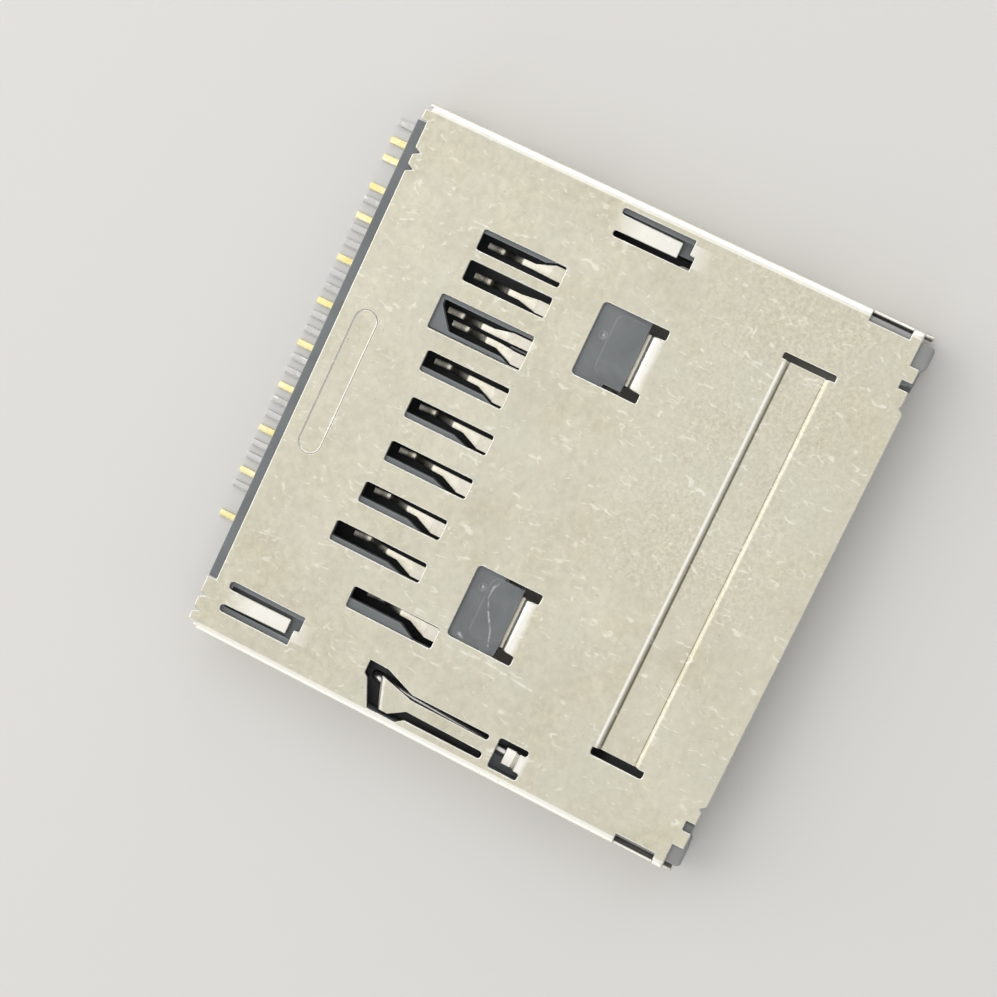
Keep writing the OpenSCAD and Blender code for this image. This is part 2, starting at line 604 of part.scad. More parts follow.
// Heart-shaped track: the way in, the rest notch and the way back
module track() {
    way = [for (t = [0:0.2:1]) pin_tip(t)];
    a = way[0];
    b = way[5];
    d = [tip_x + 0.12, b[1]];
    n = [(b[0] + d[0]) / 2, b[1] - 0.65];
    strip(way, lane_w);
    strip([b, n, d], lane_w);
    strip([d, a], lane_w);
    for (p = [a, b, d]) translate(p) circle(d = lane_w, $fn = 24);
}

module slider() {
    x0 = ch_x0 + slider_gap;
    x1 = ch_x1 - slider_gap;
    color([0.2, 0.21, 0.23]) {
        difference() {
            union() {
                box(x0, x1, slider_l0, slider_l1, ch_floor + slider_gap, slider_top);
                // Pusher that meets the card's cut corner
                plan(ch_floor + 0.4, roof_z - 0.1) polygon([[x1 - 0.5, 11.9 + 0.2], [x1, 11.9], [-slot_w + 1.9, 9.8],
                    [-slot_w + 1.9, 9], [-slot_w + 0.9, slider_l0], [x1 - 0.5, slider_l0]]);
            }
            plan(lane_z, top) track();
            box(x1 - 0.1, x1 + 0.1, slider_l0 - 1, slider_l1 + 1, 0, ch_floor + 0.4);
            box(x0 - 1, pin_x + 1.2, slider_l1 - 0.5, slider_l1 + 1, slider_top - 0.15, top);
        }
        translate([spring_x, y0 - slider_l0, spring_z]) rotate([-90, 0, 0]) translate([0, 0, -0.3])
            cylinder(r = spigot_r, h = 1.1, $fn = 32);
    }
}

// Coil with closed ends, drawn as a swept ring of points
module eject_spring() {
    sides = 8;
    steps = 18;
    n = spring_turns * steps;
    r = (spring_d - spring_wire) / 2;
    len0 = slider_l0 - ch_l0 - spring_wire - 0.04;
    pts = [for (i = [0:n]) for (j = [0:sides - 1])
        let (a = 360 * i / steps, b = 360 * j / sides, t = i / n)
        let (e = spring_turns * t)
        let (f = (max(0, min(spring_turns - 2, e - 1))) / (spring_turns - 2))
        let (z = spring_wire * (min(1, e) + max(0, e - (spring_turns - 1))) + f * (len0 - 2 * spring_wire))
        [(r + spring_wire / 2 * cos(b)) * cos(a), (r + spring_wire / 2 * cos(b)) * sin(a), z + spring_wire / 2 * sin(b)]];
    faces = concat(
        [[for (j = [0:sides - 1]) j]],
        [for (i = [0:n - 1]) for (j = [0:sides - 1])
            [i * sides + j, (i + 1) * sides + j, (i + 1) * sides + (j + 1) % sides, i * sides + (j + 1) % sides]],
        [[for (j = [sides - 1:-1:0]) n * sides + j]]);
    color([0.75, 0.75, 0.75])
        translate([spring_x, y0 - ch_l0 - spring_wire / 2 - 0.02, spring_z]) rotate([90, 0, 0])
            polyhedron(points = pts, faces = faces, convexity = 10);
}

// Wire staple: pivot end in the housing, other end in the track
module cam_pin() {
    r = pin_d / 2;
    bend = 0.35;
    color([0.72, 0.7, 0.66])
        translate([pin_x, y0 - pin_l, 0]) rotate([0, 0, -pin_rest]) {
            translate([0, 0, 0.9]) cylinder(r = r, h = pin_z - bend - 0.9, $fn = 24);
            translate([0, pin_len, lane_z + 0.1]) cylinder(r = r, h = pin_z - bend - lane_z - 0.1, $fn = 24);
            translate([0, bend, pin_z]) rotate([-90, 0, 0]) cylinder(r = r, h = pin_len - 2 * bend, $fn = 24);
            translate([0, bend, pin_z - bend]) rotate([90, 0, 90]) rotate([0, 0, 90])
                rotate_extrude(angle = 90, $fn = 32) translate([bend, 0]) circle(r = r, $fn = 24);
            translate([0, pin_len - bend, pin_z - bend]) rotate([90, 0, 90])
                rotate_extrude(angle = 90, $fn = 32) translate([bend, 0]) circle(r = r, $fn = 24);
        }
}

cover();
housing();
first_contact(0);  // contact_8
first_contact(1);  // contact_7
first_contact(2);  // contact_6
first_contact(3);  // contact_5
first_contact(4);  // contact_4
first_contact(5);  // contact_3
first_contact(6);  // contact_2
first_contact(7);  // contact_1
first_contact(8);  // contact_9
second_contact(0);  // row2_contact_1
second_contact(1);  // row2_contact_2
second_contact(2);  // row2_contact_3
second_contact(3);  // row2_contact_4
second_contact(4);  // row2_contact_5
second_contact(5);  // row2_contact_6
second_contact(6);  // row2_contact_7
second_contact(7);  // row2_contact_8
switch_common();
write_protect_spring();
card_detect_spring();
slider();
eject_spring();
cam_pin();
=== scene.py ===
# %% [markdown]
# A memory card socket, as it lies on a table
# The socket is a folded metal cover over a dark moulding, with a row of plated leads along its rear edge.
# Its solids come from the construction model as a fixed frame, in metres, and this lesson dresses them.
# We go from the camera and the light to the shader groups, the finishes, the edges and the coil spring.

import bpy
from mathutils import Matrix, Vector


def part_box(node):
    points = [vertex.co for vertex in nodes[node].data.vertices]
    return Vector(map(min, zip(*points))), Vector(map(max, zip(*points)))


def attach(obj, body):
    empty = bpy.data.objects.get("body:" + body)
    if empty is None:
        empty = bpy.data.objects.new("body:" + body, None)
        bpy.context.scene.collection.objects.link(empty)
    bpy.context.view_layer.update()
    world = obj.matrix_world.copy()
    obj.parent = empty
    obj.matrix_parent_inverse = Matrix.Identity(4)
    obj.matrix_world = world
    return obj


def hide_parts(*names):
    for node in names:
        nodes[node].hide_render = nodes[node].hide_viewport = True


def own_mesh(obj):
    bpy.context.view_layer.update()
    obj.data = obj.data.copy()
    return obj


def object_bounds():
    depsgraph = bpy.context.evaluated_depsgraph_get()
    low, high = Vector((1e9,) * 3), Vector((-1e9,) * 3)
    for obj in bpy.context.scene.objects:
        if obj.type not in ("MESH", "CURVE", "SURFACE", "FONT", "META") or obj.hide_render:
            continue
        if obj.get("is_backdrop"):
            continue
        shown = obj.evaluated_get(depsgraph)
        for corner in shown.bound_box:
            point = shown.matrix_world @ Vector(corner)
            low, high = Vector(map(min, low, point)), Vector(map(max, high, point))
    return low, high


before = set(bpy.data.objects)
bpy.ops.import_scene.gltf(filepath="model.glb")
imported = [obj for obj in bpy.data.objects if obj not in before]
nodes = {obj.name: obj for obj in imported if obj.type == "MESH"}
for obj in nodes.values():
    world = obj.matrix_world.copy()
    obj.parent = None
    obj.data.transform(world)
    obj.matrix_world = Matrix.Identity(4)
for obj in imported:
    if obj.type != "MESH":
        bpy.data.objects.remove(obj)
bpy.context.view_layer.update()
MM = 0.001

# %% [markdown]
# The camera
# The photograph looks almost straight down, from about 100 mm above the lid, with the mouth to the right.
# Its place and turn were worked out from the lid's straight edges and the known spacing of the contacts.
# A camera can be turned by three angles, but here the picture's own directions are written as vectors:
# they say which way is right and which is up in the picture, and no order of angles has to be remembered.

# %% Camera at the photograph's view
PICTURE_PX = 997
FOCAL_PX = 2040
SENSOR_MM = 36
CAMERA_MM = Vector((10.057, -13.356, 106.153))
PICTURE_RIGHT = Vector((0.42643, -0.88741, -0.17514))
PICTURE_UP = Vector((0.89754, 0.43914, -0.03975))

camera_data = bpy.data.cameras.new("photo_camera")
camera_data.sensor_width = SENSOR_MM
camera_data.lens = SENSOR_MM * FOCAL_PX / PICTURE_PX
camera_data.clip_start = 5 * MM
camera = bpy.data.objects.new("photo_camera", camera_data)
turn = Matrix((PICTURE_RIGHT, PICTURE_UP, PICTURE_RIGHT.cross(PICTURE_UP))).transposed()
camera.matrix_world = Matrix.Translation(CAMERA_MM * MM) @ turn.to_4x4()
scene = bpy.context.scene
scene.collection.objects.link(camera)
scene.camera = camera
print("lens in mm:", round(camera_data.lens, 1))

# %% [markdown]
# The world
# Plated metal shows whatever is above it, so an even pale world comes first and fills every reflection.
# A picture of a room could do this too, but a plain colour is enough for a satin surface and needs no file.

# %% World
WORLD_COLOUR = (1.0, 0.98, 0.95, 1)
WORLD_STRENGTH = 0.42

scene.view_settings.view_transform = "Standard"
world = bpy.data.worlds.new("soft_studio")
world.use_nodes = True
background = world.node_tree.nodes["Background"]
background.inputs["Color"].default_value = WORLD_COLOUR
background.inputs["Strength"].default_value = WORLD_STRENGTH
scene.world = world
print("world strength:", WORLD_STRENGTH)

# %% [markdown]
# The lamps
# One large soft lamp stands behind the leads, at the picture's upper left, as the photograph's shadow
# tells.
# One hangs overhead, where the flat lid mirrors it, and others at the sides and in front light the walls.
# Three long low strips, like window sills, put the bright line on the steps and folds that face sideways.
# Small strong lamps would do the same, but the lid burns out to white when it mirrors one of them,
# so these are large and of low brightness.


# %% Lamps around the socket
def area_lamp(name, place_mm, wide_mm, tall_mm, watts):
    data = bpy.data.lights.new(name, "AREA")
    data.shape = "RECTANGLE"
    data.size = wide_mm * MM
    data.size_y = tall_mm * MM
    data.energy = watts
    lamp = bpy.data.objects.new(name, data)
    towards_socket = -Vector(place_mm).normalized()
    lamp.rotation_euler = towards_socket.to_track_quat("-Z", "Y").to_euler()
    lamp.location = Vector(place_mm) * MM
    scene.collection.objects.link(lamp)


# Name, place, width, height and power
LAMPS = [("window_lamp", (30, 280, 190), 420, 420, 0.62),
         ("ceiling_lamp", (-25, -25, 420), 360, 360, 0.29),
         ("right_lamp", (330, 20, 190), 400, 400, 0.5),
         ("left_lamp", (-330, 20, 190), 400, 400, 0.36),
         ("front_lamp", (60, -340, 140), 260, 260, 0.07),
         ("rear_sill", (0, 330, 32), 320, 50, 0.14),
         ("right_sill", (330, 20, 32), 320, 50, 0.13),
         ("left_sill", (-330, 20, 32), 320, 50, 0.08)]
for lamp_row in LAMPS:
    area_lamp(*lamp_row)
print("lamps:", len(LAMPS))

# %% [markdown]
# The floor
# The socket lies on a plain pale sheet that catches its shadow. One large square is enough,
# and it lies a hair lower than the leads, so that the two surfaces don't fight over the same pixels.

# %% Floor
HALF_FLOOR = 0.6
FLOOR_COLOUR = (0.72, 0.71, 0.69, 1)
FLOOR_ROUGHNESS = 0.9
FLOOR_DROP_MM = 0.02

floor_mesh = bpy.data.meshes.new("floor")
corners = [(-HALF_FLOOR, -HALF_FLOOR, 0), (HALF_FLOOR, -HALF_FLOOR, 0),
           (HALF_FLOOR, HALF_FLOOR, 0), (-HALF_FLOOR, HALF_FLOOR, 0)]
floor_mesh.from_pydata(corners, [], [(0, 1, 2, 3)])
floor = bpy.data.objects.new("floor", floor_mesh)
floor_paint = bpy.data.materials.new("floor_sheet")
floor_paint.use_nodes = True
floor_shader = floor_paint.node_tree.nodes["Principled BSDF"]
floor_shader.inputs["Base Color"].default_value = FLOOR_COLOUR
floor_shader.inputs["Roughness"].default_value = FLOOR_ROUGHNESS
floor_mesh.materials.append(floor_paint)
floor.location.z = -FLOOR_DROP_MM * MM
scene.collection.objects.link(floor)
floor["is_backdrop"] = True
print("floor:", 2 * HALF_FLOOR, "m")

# %% [markdown]
# Small helpers for node trees
# Every finish below is a tree of nodes. They can be joined by hand in the editor, but a script that does
# it is easier to read and to repeat, so the few moves that come again and again are written once:
# adding a node with its settings, and the sums that follow.


# %% Helpers: nodes and sums
def add(tree, kind, inputs=None, **settings):
    node = tree.nodes.new(kind)
    for key, value in settings.items():
        setattr(node, key, value)
    for key, value in (inputs or {}).items():
        if isinstance(value, bpy.types.NodeSocket):
            tree.links.new(value, node.inputs[key])
        else:
            node.inputs[key].default_value = value
    return node


def math(tree, operation, a, b=0.0, clamp=False):
    return add(tree, "ShaderNodeMath", {0: a, 1: b}, operation=operation, use_clamp=clamp).outputs[0]


def multiply(tree, a, b):
    return math(tree, "MULTIPLY", a, b)


def scaled_plus(tree, value, scale, offset):
    return add(tree, "ShaderNodeMath", {0: value, 1: scale, 2: offset}, operation="MULTIPLY_ADD").outputs[0]


def vector_math(tree, operation, a, b, output=0):
    return add(tree, "ShaderNodeVectorMath", {0: a, 1: b}, operation=operation).outputs[output]


print("helpers for sums are ready")

# %% [markdown]
# Places, noise and colours
# A finish has to keep its size on every piece, so noise is measured in millimetres of the object itself.
# The ramp turns any value into a mask from 0 to 1, and the mix lays one colour over another by such a mask.


# %% Helpers: places, noise and colours
def millimetres(tree):
    place = add(tree, "ShaderNodeTexCoord").outputs["Object"]
    return add(tree, "ShaderNodeVectorMath", {0: place, "Scale": 1 / MM}, operation="SCALE").outputs[0]


def axis_mm(tree, axis):
    return add(tree, "ShaderNodeSeparateXYZ", {0: millimetres(tree)}).outputs[axis]


def remap(tree, value, low, high):
    ramp = {"Value": value, "From Min": low, "From Max": high, "To Min": 0.0, "To Max": 1.0}
    return add(tree, "ShaderNodeMapRange", ramp, clamp=True).outputs["Result"]


def noise(tree, vector, scale, detail=3.0, roughness=0.55, distortion=0.0):
    values = {"Vector": vector, "Scale": scale, "Detail": detail,
              "Roughness": roughness, "Distortion": distortion}
    return add(tree, "ShaderNodeTexNoise", values).outputs["Fac"]


# The mix node has sockets for every kind of value: 6 and 7 take two colours and output 2 gives the result
def mix_colour(tree, factor, low, high):
    return add(tree, "ShaderNodeMix", {0: factor, 6: low, 7: high}, data_type="RGBA").outputs[2]


print("helpers for finishes are ready")

# %% [markdown]
# Groups
# An effect that several finishes share is built once as a shader group with named inputs, like a tool in
# a drawer. Copying the nodes into each finish would work as well, but then every later change has to be
# made many times.


# %% Helpers: shader groups
FLOAT = "NodeSocketFloat"
VECTOR = "NodeSocketVector"


def open_group(name, inputs, outputs):
    tree = bpy.data.node_groups.new(name, "ShaderNodeTree")
    for socket, kind, value in inputs:
        made = tree.interface.new_socket(socket, in_out="INPUT", socket_type=kind)
        made.default_value = value
    for socket in outputs:
        tree.interface.new_socket(socket, in_out="OUTPUT", socket_type=FLOAT)
    return tree, tree.nodes.new("NodeGroupInput").outputs, tree.nodes.new("NodeGroupOutput").inputs


def use_group(tree, group, **values):
    node = tree.nodes.new("ShaderNodeGroup")
    node.node_tree = group
    for key, value in values.items():
        node.inputs[key.replace("_", " ")].default_value = value
    return node.outputs


print("helpers for groups are ready")

# %% [markdown]
# Cloudy plating
# Nickel from a bath is never even: it has soft cloudy patches, warmer and cooler places, a mottle of about
# half a millimetre, finer speckle, short pale flecks and a few dark pits. Each is a noise of its own size.
# The scales count patches per millimetre, so a small contact can have finer plating than the large lid.

# %% Shader group: cloudy plating
plating, given, result = open_group(
    "Cloudy plating",
    [("Cloud scale", FLOAT, 0.3), ("Mottle scale", FLOAT, 2.2), ("Fleck scale", FLOAT, 2.6)],
    ["Cloud", "Warmth", "Mottle", "Speckle", "Fleck", "Pit", "Height"])
APART = (31, 17, 5)
FLECK_STRETCH = (1.0, 0.45, 1.0)
PIT_FINER = 2.4
SPECKLE_FINER = 2.0

at = millimetres(plating)
cloud = noise(plating, at, given["Cloud scale"], 5.0, 0.62)
warmth = noise(plating, vector_math(plating, "ADD", at, APART), given["Cloud scale"], 4.0, 0.6)
mottle = noise(plating, at, given["Mottle scale"], 4.0, 0.6, 0.4)
drawn_out = vector_math(plating, "MULTIPLY", at, FLECK_STRETCH)
fleck = noise(plating, drawn_out, given["Fleck scale"], 3.0, 0.5, 1.2)
pit = noise(plating, at, multiply(plating, given["Mottle scale"], PIT_FINER), 2.0, 0.5)
speckle = noise(plating, at, multiply(plating, given["Mottle scale"], SPECKLE_FINER), 3.0, 0.6, 0.8)
plating.links.new(remap(plating, cloud, 0.32, 0.68), result["Cloud"])
plating.links.new(remap(plating, warmth, 0.35, 0.65), result["Warmth"])
plating.links.new(remap(plating, mottle, 0.3, 0.7), result["Mottle"])
plating.links.new(remap(plating, speckle, 0.36, 0.64), result["Speckle"])
plating.links.new(remap(plating, fleck, 0.61, 0.70), result["Fleck"])
plating.links.new(remap(plating, pit, 0.3, 0.22), result["Pit"])
plating.links.new(math(plating, "ADD", mottle, multiply(plating, fleck, 0.5)), result["Height"])
print("plating outputs:", len(result) - 1)

# %% [markdown]
# Handling marks
# Parts that rub together in a tray get hair-thin curved marks. A noise crosses the value one half along
# thin curved lines, so we keep only what is close to one half, and a second noise keeps the lines in a few
# places.

# %% Shader group: hair-thin handling marks
marks, given, result = open_group(
    "Handling marks", [("Scale", FLOAT, 0.8), ("Width", FLOAT, 0.012), ("Amount", FLOAT, 0.5)], ["Mask"])
KEPT_ABOVE = 0.75
KEPT_RANGE = 0.3

at = millimetres(marks)
field = noise(marks, at, given["Scale"], 1.0, 0.4, 0.6)
off_line = math(marks, "ABSOLUTE", math(marks, "SUBTRACT", field, 0.5))
thin = math(marks, "SUBTRACT", 1.0, math(marks, "DIVIDE", off_line, given["Width"]), True)
where = noise(marks, at, 0.35, 4.0, 0.7)
lowest_kept = math(marks, "SUBTRACT", KEPT_ABOVE, multiply(marks, given["Amount"], KEPT_RANGE))
marks.links.new(multiply(marks, thin, remap(marks, where, lowest_kept, KEPT_ABOVE)), result["Mask"])
print("group:", marks.name)

# %% [markdown]
# One scratch
# Some scratches of the photographed lid are long and single. Painting them would need a picture, so we
# measure how far each point lies from the line between two places, and make that line wander and break.

# %% Shader group: one straight scratch
# The same line also paints the glint on the housing's gate marks.
scratch, given, result = open_group(
    "Straight pale line",
    [("Start", VECTOR, (0, 0, 0)), ("End", VECTOR, (1, 0, 0)), ("Width", FLOAT, 0.05)], ["Mask"])
FLAT = (1, 1, 0)

at = millimetres(scratch)
from_start = vector_math(scratch, "SUBTRACT", vector_math(scratch, "MULTIPLY", at, FLAT), given["Start"])
run = vector_math(scratch, "SUBTRACT", given["End"], given["Start"])
along = vector_math(scratch, "DOT_PRODUCT", from_start, run, "Value")
whole_run = vector_math(scratch, "DOT_PRODUCT", run, run, "Value")
share = math(scratch, "DIVIDE", along, whole_run, True)
foot = add(scratch, "ShaderNodeVectorMath", {0: run, "Scale": share}, operation="SCALE").outputs[0]
away = vector_math(scratch, "LENGTH", vector_math(scratch, "SUBTRACT", from_start, foot), (0, 0, 0), "Value")
wander = multiply(scratch, noise(scratch, at, 1.6, 3.0), given["Width"])
near = math(scratch, "SUBTRACT", 1.0, math(scratch, "DIVIDE", away, wander), True)
broken = remap(scratch, noise(scratch, at, 2.2, 3.0, 0.7), 0.38, 0.62)
scratch.links.new(multiply(scratch, near, broken), result["Mask"])
print("group:", scratch.name)

# %% [markdown]
# Surface patches
# Tongues, lock tabs, folds, the arm's head and the rib's shoulder are painted pale: partly rubbing where they
# touch other things, partly a painted highlight. The same patch also places painted shade and the coarse
# marks.
# Such a place is a turned rectangle: sharp at its sides and fading at its ends with a ragged line.
# An image mask could do the same, but a rectangle of four numbers can be moved and needs no file.

# %% Shader group: a patch of the surface
patch, given, result = open_group(
    "Surface patch",
    [("Centre", VECTOR, (0, 0, 0)), ("Half size", VECTOR, (1, 1, 0)),
     ("Turn", FLOAT, 0.0), ("Softness", FLOAT, 0.3)], ["Mask"])
RAGGED_MM = 0.3
SIDE_FADE_MM = 0.05

flat_place = vector_math(patch, "MULTIPLY", millimetres(patch), FLAT)
at = vector_math(patch, "SUBTRACT", flat_place, given["Centre"])
turning = {"Vector": at, "Angle": given["Turn"]}
rotation = add(patch, "ShaderNodeVectorRotate", turning, rotation_type="Z_AXIS")
folded = vector_math(patch, "ABSOLUTE", rotation.outputs[0], (0, 0, 0))
past = vector_math(patch, "SUBTRACT", folded, given["Half size"])
split = add(patch, "ShaderNodeSeparateXYZ", {0: past}).outputs
ragged = scaled_plus(patch, noise(patch, millimetres(patch), 1.5, 3.0), RAGGED_MM, -RAGGED_MM / 2)
fade = multiply(patch, given["Softness"], -1.0)
inside_y = remap(patch, math(patch, "SUBTRACT", split["Y"], ragged), 0.0, fade)
inside_x = remap(patch, split["X"], 0.0, -SIDE_FADE_MM)
patch.links.new(multiply(patch, inside_x, inside_y), result["Mask"])


def patch_mask(tree, place):
    centre, half_size, turned, softness = place
    return use_group(tree, patch, Centre=centre, Half_size=half_size, Turn=turned, Softness=softness)["Mask"]


print("group:", patch.name)

# %% [markdown]
# Moulded grain
# A moulded skin copies the fine grain of its steel tool and shows slow flow marks where the plastic ran.
# A fine and a coarse noise are enough for both.

# %% Shader group: moulded grain
grain, given, result = open_group(
    "Moulded grain", [("Scale", FLOAT, 14.0), ("Flow scale", FLOAT, 0.5)], ["Grain", "Flow"])
at = millimetres(grain)
grain.links.new(noise(grain, at, given["Scale"], 4.0, 0.65), result["Grain"])
flow = noise(grain, at, given["Flow scale"], 3.0, 0.5, 0.8)
grain.links.new(remap(grain, flow, 0.3, 0.7), result["Flow"])
print("shader groups:", len(bpy.data.node_groups))

# %% [markdown]
# The colour of plated metal
# A metal's base colour is what it mirrors, so it runs between a dark and a light tone of the plating itself.
# Where cards are pushed in, the lid is marked more coarsely. Deep in the windows the beams get painted shade,
# but the bend that presses on the card is left out of it. The leads take another plating than the beams.


# %% Steps of a plated finish
CLOUD_SHARE, MOTTLE_SHARE = 0.4, 0.6
COARSE_SHARE = 0.6
BEND_Z = 1.57
LEAD_FROM_Y = 12.4


def finish(name):
    material = bpy.data.materials.new(name)
    material.use_nodes = True
    return material, material.node_tree, material.node_tree.nodes["Principled BSDF"]


def darker(colour, share):
    return tuple(value * share for value in colour[:3]) + (1,)


def plating_tone(tree, bath, coarse):
    soft = multiply(tree, bath["Cloud"], CLOUD_SHARE)
    tone = math(tree, "ADD", soft, multiply(tree, bath["Mottle"], MOTTLE_SHARE))
    if not coarse:
        return tone
    share = multiply(tree, patch_mask(tree, coarse), COARSE_SHARE)
    kept = multiply(tree, tone, math(tree, "SUBTRACT", 1.0, share))
    return math(tree, "ADD", kept, multiply(tree, bath["Speckle"], share))


# Painted shade: below the top of the windows the beams are darkened, but not at the bend near BEND_Z.
def shade_in_depth(tree, colour, dark, from_z):
    height = axis_mm(tree, "Z")
    below_top = remap(tree, height, from_z, from_z - 0.4)
    above_bend = remap(tree, height, BEND_Z, BEND_Z + 0.1)
    deep = multiply(tree, multiply(tree, below_top, above_bend), 0.8)
    return mix_colour(tree, deep, colour, darker(dark, 0.2))


def lead_plating(tree, colour, tone, lead):
    on_lead = remap(tree, axis_mm(tree, "Y"), LEAD_FROM_Y - 0.4, LEAD_FROM_Y)
    return mix_colour(tree, on_lead, colour, mix_colour(tree, tone, *lead))


print("leads begin at y =", LEAD_FROM_Y, "mm")

# %% [markdown]
# One recipe for every plated piece
# Tone, painted shade in depth, leads, cooler clouds, rubbed places with painted highlights, painted shade in
# the rib's corners, marks and pits are laid over each other in this order. The mask of the marks also changes
# the roughness and the height, so that a mark is pale, smooth and a little sunk at once, which a flat colour
# can't show.


# %% A plated finish
COOL_TINT = (0.90, 0.93, 1.06)
HIGHLIGHT_AND_RUB_COLOUR = (0.95, 0.93, 0.88, 1)
HIGHLIGHT_AND_RUB_SHARE, SHADE_SHARE = 0.8, 0.75
BUMP_MM = 0.02


def plated(name, dark, light, mark, roughness, cloud_scale=0.3, mottle_scale=2.2, mark_amount=0.5,
           pale_lines=(), worn_and_highlit=(), shaded_places=(), lead=None, coarse=None, shaded_from_z=None):
    material, tree, shader = finish(name)
    bath = use_group(tree, plating, Cloud_scale=cloud_scale, Mottle_scale=mottle_scale)
    lines = use_group(tree, marks, Amount=mark_amount)["Mask"]
    for start, end, width in pale_lines:
        single = use_group(tree, scratch, Start=start, End=end, Width=width)["Mask"]
        lines = math(tree, "MAXIMUM", lines, single)
    lines = math(tree, "MAXIMUM", lines, multiply(tree, bath["Fleck"], 0.6))
    tone = plating_tone(tree, bath, coarse)
    colour = mix_colour(tree, tone, dark, light)
    # Painted shade deep in the windows.
    if shaded_from_z:
        colour = shade_in_depth(tree, colour, dark, shaded_from_z)
    if lead:
        colour = lead_plating(tree, colour, tone, lead)
    cool = tuple(value * tint for value, tint in zip(light, COOL_TINT)) + (1,)
    colour = mix_colour(tree, multiply(tree, bath["Warmth"], 0.35), colour, cool)
    # Pale places: partly rubbing, partly a painted highlight on folds, steps and tabs.
    if worn_and_highlit:
        wear_and_highlight = patch_mask(tree, worn_and_highlit[0])
        for place in worn_and_highlit[1:]:
            wear_and_highlight = math(tree, "MAXIMUM", wear_and_highlight, patch_mask(tree, place))
        colour = mix_colour(tree, multiply(tree, wear_and_highlight, HIGHLIGHT_AND_RUB_SHARE), colour, HIGHLIGHT_AND_RUB_COLOUR)
    # Painted shade in the corners at the foot of the rib's steps.
    for place in shaded_places:
        shade = multiply(tree, patch_mask(tree, place), SHADE_SHARE)
        colour = mix_colour(tree, shade, colour, darker(dark, 0.3))
    colour = mix_colour(tree, multiply(tree, lines, 0.65), colour, mark)
    colour = mix_colour(tree, multiply(tree, bath["Pit"], 0.35), colour, darker(dark, 0.4))
    tree.links.new(colour, shader.inputs["Base Color"])
    shader.inputs["Metallic"].default_value = 1.0
    rough = scaled_plus(tree, bath["Mottle"], 0.12, roughness)
    tree.links.new(math(tree, "SUBTRACT", rough, multiply(tree, lines, 0.1)), shader.inputs["Roughness"])
    height = math(tree, "ADD", bath["Height"], multiply(tree, lines, -0.5))
    bump = add(tree, "ShaderNodeBump", {"Height": height, "Strength": 0.3, "Distance": BUMP_MM * MM})
    tree.links.new(bump.outputs["Normal"], shader.inputs["Normal"])
    return material


print("plated finish is ready")

# %% [markdown]
# The longer scratches, the rubbed places with painted highlights and the rib's corners with painted shade lie
# where the photograph shows them.
# The longer scratches, the bright places and the rib's dark corners lie where the photograph shows them.
# Each scratch has its two ends and its width, and each place its middle, half size, turn and softness.
# All are in millimetres of the socket's plan, so they stay with the sheet from every view.

# %% Scratches and rubbed places of the cover
LID_SCRATCHES = [((-9.73, 0.5, 0), (-9.57, -1.6, 0), 0.26), ((-9.57, -1.6, 0), (-9.86, -4.5, 0), 0.18),
                 ((10.4, -5.6, 0), (9.8, -8.9, 0), 0.12), ((5.67, -5.85, 0), (5.35, -6.46, 0), 0.16),
                 ((0.32, -3.53, 0), (0.09, -4.21, 0), 0.14), ((3.77, -4.81, 0), (3.63, -5.33, 0), 0.14),
                 ((3.63, -5.33, 0), (4.1, -5.15, 0), 0.14), ((-11.35, 6.52, 0), (-11.85, 6.7, 0), 0.12),
                 ((9.03, 12.18, 0), (9.31, 11.5, 0), 0.16), ((10.56, 8.61, 0), (10.56, 7.75, 0), 0.16)]
# Pale places, partly rubbing and partly painted highlight on the folds, tabs, arm's head and rib's shoulder.
REAR_TONGUE = ((-12.73, 9.6, 0), (0.6, 2.6, 0), 0.0, 1.6)
SIDE_TONGUE = ((13.63, -0.6, 0), (0.6, 2.8, 0), 0.0, 1.6)
HOOK_TAB = ((-13.56, -5.2, 0), (0.6, 0.8, 0), 0.0, 0.3)
ARM_HEAD = ((-13.6, 2.6, 0), (1.05, 0.24, 0), -0.32, 0.1)
FOLDS = [((x, -0.3, 0), (0.24, 14.6, 0), 0.0, 0.8) for x in (14.87, -14.87)]
LOCK_TABS = [((x, -2.45, 0), (1.55, 0.5, 0), 0.0, 0.3) for x in (7.74, -7.2)]
QUARTER_TURN = 1.5707963
HALF_RIB = 10.98
RIB_SHOULDER = ((0, -8.74, 0), (0.12, HALF_RIB, 0), QUARTER_TURN, 0.3)
# The rib's corners get painted shade.
REAR_RIB_CORNER = ((0, -8.96, 0), (0.07, HALF_RIB, 0), QUARTER_TURN, 0.3)
FRONT_RIB_CORNER = ((0, -10.92, 0), (0.05, HALF_RIB, 0), QUARTER_TURN, 0.3)
RUBBED_AND_HIGHLIT_PLACES = [REAR_TONGUE, SIDE_TONGUE, HOOK_TAB, ARM_HEAD, RIB_SHOULDER] + FOLDS + LOCK_TABS
COARSE_FRONT = ((7.0, -9.0, 0), (9.5, 7.5, 0), 0.0, 5.0)
print("scratches:", len(LID_SCRATCHES), "rubbed places:", len(RUBBED_AND_HIGHLIT_PLACES))

# %% [markdown]
# The cover
# The sheet is satin nickel plate with a warm tint. Its cut edges are bare metal, and their own finish is
# painted brighter as a highlight on their rounds, with finer plating and fewer marks.

# %% Finishes of the cover
cover_face = plated("satin_nickel", (0.515, 0.485, 0.375, 1), (0.725, 0.695, 0.555, 1),
                    mark=(0.96, 0.95, 0.88, 1), roughness=0.34,
                    pale_lines=LID_SCRATCHES, worn_and_highlit=RUBBED_AND_HIGHLIT_PLACES, coarse=COARSE_FRONT,
                    shaded_places=[REAR_RIB_CORNER, FRONT_RIB_CORNER])
